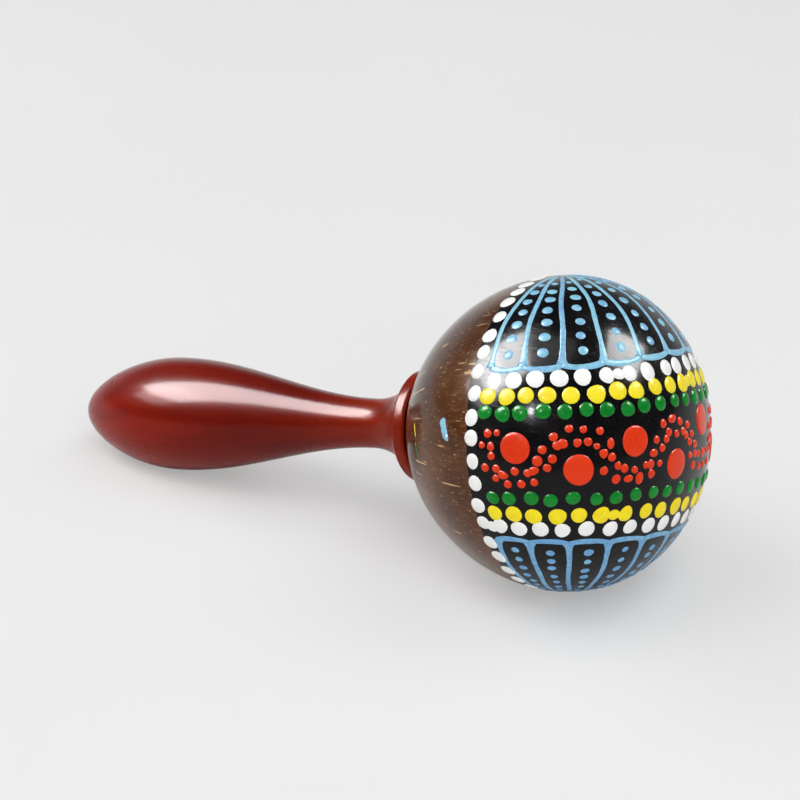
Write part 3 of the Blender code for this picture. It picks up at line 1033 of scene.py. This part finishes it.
def loose_seeds():
    """Round, slightly lumpy seeds in place of the faceted ones, one on each seed's body.

    A point of a seed stands from its middle by the seed's radius, raised and lowered by the mean of
    three cosine waves that run through the seed in different directions.
    """
    rng = np.random.default_rng(5)
    names = sorted(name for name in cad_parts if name.startswith("rattle_seed"))
    down = np.linspace(np.pi, 0, SEED_ROWS + 2)[1:-1, None]
    round_about = np.linspace(0, 2 * np.pi, SEED_AROUND, endpoint=False)
    x = np.sin(down) * np.cos(round_about)
    y = np.sin(down) * np.sin(round_about)
    grid = np.stack(np.broadcast_arrays(x, y, np.cos(down)), axis=-1)
    ball = np.concatenate((grid.reshape(-1, 3), [(0, 0, -1), (0, 0, 1)]))
    faces = turned_faces(SEED_ROWS, SEED_AROUND)
    ways = unit(rng.normal(size=(len(names), 3, 3)))
    phases = rng.uniform(0, 2 * np.pi, (len(names), 3, 1))
    lumps = np.cos(SEED_WAVES * (ways @ ball.T) + phases).mean(axis=1)
    skins = SEED_RADIUS * (1 + SEED_LUMPS * lumps)[..., None] * ball
    material = seed_finish()
    for name, skin in zip(names, skins):
        body = name.replace("rattle_", "")
        points = node_points(name).mean(axis=0) + skin
        seed = mesh_piece(f"dry_{body}", points, faces, material, body=body)
        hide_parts(name)


def dress_glue():
    """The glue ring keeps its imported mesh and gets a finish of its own."""
    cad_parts["glue_ring"].material_slots[0].material = glue_finish()


def facing(place, right, back):
    """The placement of a camera or lamp that looks away from back."""
    up = np.cross(back, right)
    turn = Matrix(np.stack((right, up, back), axis=1).tolist()).to_4x4()
    return Matrix.Translation(place.tolist()) @ turn


def softbox(name, direction, radiance, distance, size, seen_by):
    """A square lamp that faces the maraca, by the brightness of its face rather than its power.

    A lamp seen by gloss is a panel that shows in reflections, and one seen by matt surfaces a fill.
    """
    lamp = bpy.data.lights.new(name, "AREA")
    lamp.shape = "SQUARE"
    lamp.size = size
    lamp.energy = radiance * math.pi * size**2
    box = bpy.data.objects.new(name, lamp)
    back = unit(np.array(direction))
    right = unit(np.cross((0.0, 0.0, 1.0), back))
    box.matrix_world = facing(back * distance + LAMP_AIM, right, back)
    box.visible_diffuse = seen_by == "matt"
    box.visible_glossy = seen_by == "gloss"
    bpy.context.scene.collection.objects.link(box)


def seen_rays(wire):
    """1 for the rays of the camera, of gloss and of glass, and 0 for those that light matt surfaces."""
    camera, glossy, transmission = [
        wire.node("ShaderNodeLightPath", {}, {}, output=f"Is {kind} Ray")
        for kind in ("Camera", "Glossy", "Transmission")
    ]
    return camera + glossy + transmission


def pale_floor():
    """A pale floor that keeps the maraca's shadow.

    Near the maraca the camera sees it partly in one even tone. Far away, the camera and reflections see
    only that tone.
    """
    material, shader, place = new_finish("pale_floor")
    tone = place.noise(6.0, 2.0).between(0.3, 0.7)
    card = tone.blend(rgb(0.86, 0.86, 0.86), rgb(0.88, 0.88, 0.88))
    feed(shader, Base_Color=card, Roughness=0.9, Specular_IOR_Level=0.0)
    tree = material.node_tree
    lit = Wire(tree, shader.outputs["BSDF"])
    even_tone = rgb(FLOOR_TONE, FLOOR_TONE, FLOOR_TONE)
    pale = place.node("ShaderNodeEmission", {}, {"Color": even_tone})
    length = {"operation": "LENGTH"}
    distance = place.node("ShaderNodeVectorMath", length, {0: place}, output="Value")
    far = distance.between(*FLOOR_FAR)
    camera = place.node("ShaderNodeLightPath", {}, {}, output="Is Camera Ray")
    even = far * seen_rays(place) + FLOOR_EVENNESS * (1 - far) * camera
    mixed = place.node("ShaderNodeMixShader", {}, {0: even, 1: lit, 2: pale})
    tree.links.new(mixed.socket, tree.nodes["Material Output"].inputs["Surface"])

    half = FLOOR_HALF
    mesh = bpy.data.meshes.new("floor")
    corners = [(-half, -half, 0), (half, -half, 0), (half, half, 0), (-half, half, 0)]
    mesh.from_pydata(corners, [], [(0, 1, 2, 3)])
    mesh.materials.append(material)
    floor = bpy.data.objects.new("floor", mesh)
    bpy.context.scene.collection.objects.link(floor)


def lamps():
    """Fills light the matt surfaces from left, right and above, and panels show in the gloss."""
    for name, direction, radiance in FILLS:
        softbox(name, direction, radiance, FILL_DISTANCE, FILL_SIZE, "matt")
    for name, direction, radiance, distance, size in PANELS:
        softbox(name, direction, radiance, distance, size, "gloss")


def room():
    """A dim even room, in which the camera and reflections see a pale wall behind the maraca."""
    world = bpy.data.worlds.new("room")
    world.use_nodes = True
    tree = world.node_tree
    outward = Wire(tree).node("ShaderNodeTexCoord", {}, {}, output="Generated")
    towards_wall = outward.part("X") * WALL_TOWARDS[0] + outward.part("Y") * WALL_TOWARDS[1]
    behind = towards_wall.between(0.45, 0.85)
    low = 1 - outward.part("Z").between(0.10, 0.45)
    view = ROOM_DARK + (WALL_LIGHT - ROOM_DARK) * behind * low
    strength = ROOM_LIGHT + seen_rays(outward) * (view - ROOM_LIGHT)
    feed(tree.nodes["Background"], Color=rgb(0.97, 0.98, 1.0), Strength=strength)
    bpy.context.scene.world = world


def photograph_camera():
    """The camera that stands where the photograph was taken from."""
    camera = bpy.data.cameras.new("photograph_camera")
    camera.lens = LENS
    camera.sensor_width = SENSOR
    camera.clip_start = 0.01
    stand = bpy.data.objects.new("photograph_camera", camera)
    stand.matrix_world = facing(HEAD_MIDDLE + CAMERA_FROM_HEAD, CAMERA_RIGHT, -CAMERA_FORWARD)
    bpy.context.scene.collection.objects.link(stand)
    bpy.context.scene.camera = stand


bpy.context.scene.view_settings.view_transform = "Standard"
painted_coconut()
turned_handle()
painted_pattern()
loose_seeds()
dress_glue()
pale_floor()
lamps()
room()
photograph_camera()
